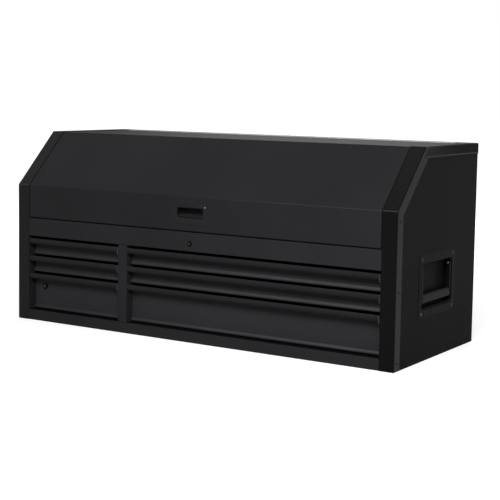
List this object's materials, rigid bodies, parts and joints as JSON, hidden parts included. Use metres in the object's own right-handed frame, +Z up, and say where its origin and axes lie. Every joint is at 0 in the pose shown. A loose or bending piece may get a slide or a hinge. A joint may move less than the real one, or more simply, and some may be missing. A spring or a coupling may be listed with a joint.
{
  "type": "machinist tool chest",
  "caption": "Wide sheet-steel bench-top tool chest with a lift-up sloped lid, key locks, two banks of full-width-pull drawers and recessed drop handles.",
  "frame": {"origin": "centre of the base, on the surface the chest stands on", "axes": "+X to the right seen from the front, +Y towards the back, +Z up"},
  "size_m": [1.422, 0.569, 0.635],
  "materials": {
    "body_black": "semi-gloss powder coat",
    "front_black": "satin powder coat",
    "inside_black": "satin powder coat",
    "handle_black": "satin powder coat",
    "pull_black": "fine satin",
    "screw_steel": "black zinc, worn",
    "lock_chrome": "bright plated",
    "rod_chrome": "polished",
    "strut_black": "gloss enamel",
    "zinc_steel": "bright zinc"
  },
  "bodies": {
    "case": {"bottom_panel": "body_black", "back_panel": "body_black", "side_panel_left": "body_black", "side_panel_right": "body_black", "inner_wall_left": "body_black", "inner_wall_right": "body_black", "corner_post_left": "body_black", "corner_post_right": "body_black", "top_rail_left": "body_black", "top_rail_right": "body_black", "rear_header": "body_black", "till_floor": "inside_black", "lock_rail": "front_black", "bottom_rail": "front_black", "mullion": "front_black", "partition_walls": "inside_black", "slide_outer_members": "zinc_steel", "hinge_case_leaf": "zinc_steel", "hinge_pin": "zinc_steel", "handle_cup_left": "handle_black", "handle_cup_right": "handle_black", "handle_screws": "screw_steel", "strut_case_studs": "strut_black", "fascia_lock_barrel": "lock_chrome"},
    "lid": {"lid_shell": "front_black", "lid_pull": "pull_black", "hinge_lid_leaf": "zinc_steel", "strut_lid_studs": "strut_black"},
    "strut_cylinder_left": {"strut_cylinder_left": "strut_black"},
    "strut_cylinder_right": {"strut_cylinder_right": "strut_black"},
    "strut_rod_left": {"strut_rod_left": "rod_chrome"},
    "strut_rod_right": {"strut_rod_right": "rod_chrome"},
    "side_bail_left": {"side_bail_left": "handle_black"},
    "side_bail_right": {"side_bail_right": "handle_black"},
    "fascia_lock": {"fascia_lock_plug": "lock_chrome", "fascia_lock_cam": "lock_chrome"},
    "drawer_lock": {"drawer_lock_plug": "lock_chrome", "drawer_lock_cam": "lock_chrome"},
    "left_bottom_drawer": {"left_bottom_drawer_front": "front_black", "left_bottom_drawer_tray": "inside_black", "left_bottom_drawer_slides": "zinc_steel", "drawer_lock_barrel": "lock_chrome"},
    "left_middle_drawer": {"left_middle_drawer_front": "front_black", "left_middle_drawer_tray": "inside_black", "left_middle_drawer_slides": "zinc_steel"},
    "left_top_drawer": {"left_top_drawer_front": "front_black", "left_top_drawer_tray": "inside_black", "left_top_drawer_slides": "zinc_steel"},
    "right_bottom_drawer": {"right_bottom_drawer_front": "front_black", "right_bottom_drawer_tray": "inside_black", "right_bottom_drawer_slides": "zinc_steel"},
    "right_middle_drawer": {"right_middle_drawer_front": "front_black", "right_middle_drawer_tray": "inside_black", "right_middle_drawer_slides": "zinc_steel"},
    "right_top_drawer": {"right_top_drawer_front": "front_black", "right_top_drawer_tray": "inside_black", "right_top_drawer_slides": "zinc_steel"}
  },
  "joints": [
    {"name": "lid_hinge", "type": "hinge", "parent": "case", "child": "lid", "pos_m": [0, 0.246, 0.63115], "axis": [-1, 0, 0], "range_deg": [0, 80], "stiffness_Nm_per_rad": 11.9, "springref_deg": 115.74},
    {"name": "strut_cylinder_swing_left", "type": "hinge", "parent": "case", "child": "strut_cylinder_left", "pos_m": [-0.645, 0.19108, 0.41089], "axis": [-1, 0, 0], "range_deg": [0, 40]},
    {"name": "strut_rod_swing_left", "type": "hinge", "parent": "lid", "child": "strut_rod_left", "pos_m": [-0.645, 0.02007, 0.60915], "axis": [-1, 0, 0], "range_deg": [-40, 0]},
    {"name": "strut_cylinder_swing_right", "type": "hinge", "parent": "case", "child": "strut_cylinder_right", "pos_m": [0.645, 0.19108, 0.41089], "axis": [-1, 0, 0], "range_deg": [0, 40]},
    {"name": "strut_rod_swing_right", "type": "hinge", "parent": "lid", "child": "strut_rod_right", "pos_m": [0.645, 0.02007, 0.60915], "axis": [-1, 0, 0], "range_deg": [-40, 0]},
    {"name": "side_bail_swing_left", "type": "hinge", "parent": "case", "child": "side_bail_left", "pos_m": [-0.7014, 0, 0.274], "axis": [0, 1, 0], "range_deg": [0, 90]},
    {"name": "side_bail_swing_right", "type": "hinge", "parent": "case", "child": "side_bail_right", "pos_m": [0.7014, 0, 0.274], "axis": [0, -1, 0], "range_deg": [0, 90]},
    {"name": "fascia_lock_turn", "type": "hinge", "parent": "case", "child": "fascia_lock", "pos_m": [0.001, -0.283, 0.312], "axis": [0, 1, 0], "range_deg": [0, 90]},
    {"name": "drawer_lock_turn", "type": "hinge", "parent": "left_bottom_drawer", "child": "drawer_lock", "pos_m": [-0.616, -0.252, 0.115], "axis": [0, 1, 0], "range_deg": [0, 90]},
    {"name": "left_bottom_drawer_slide", "type": "slide", "parent": "case", "child": "left_bottom_drawer", "axis": [0, -1, 0], "range_m": [0, 0.37]},
    {"name": "left_middle_drawer_slide", "type": "slide", "parent": "case", "child": "left_middle_drawer", "axis": [0, -1, 0], "range_m": [0, 0.37]},
    {"name": "left_top_drawer_slide", "type": "slide", "parent": "case", "child": "left_top_drawer", "axis": [0, -1, 0], "range_m": [0, 0.37]},
    {"name": "right_bottom_drawer_slide", "type": "slide", "parent": "case", "child": "right_bottom_drawer", "axis": [0, -1, 0], "range_m": [0, 0.37]},
    {"name": "right_middle_drawer_slide", "type": "slide", "parent": "case", "child": "right_middle_drawer", "axis": [0, -1, 0], "range_m": [0, 0.37]},
    {"name": "right_top_drawer_slide", "type": "slide", "parent": "case", "child": "right_top_drawer", "axis": [0, -1, 0], "range_m": [0, 0.37]}
  ],
  "couplings": [
    {"joint": "strut_cylinder_swing_left", "follows": "lid_hinge", "ratio": 0.5},
    {"joint": "strut_rod_swing_left", "follows": "lid_hinge", "ratio": -0.5},
    {"joint": "strut_cylinder_swing_right", "follows": "lid_hinge", "ratio": 0.5},
    {"joint": "strut_rod_swing_right", "follows": "lid_hinge", "ratio": -0.5}
  ]
}
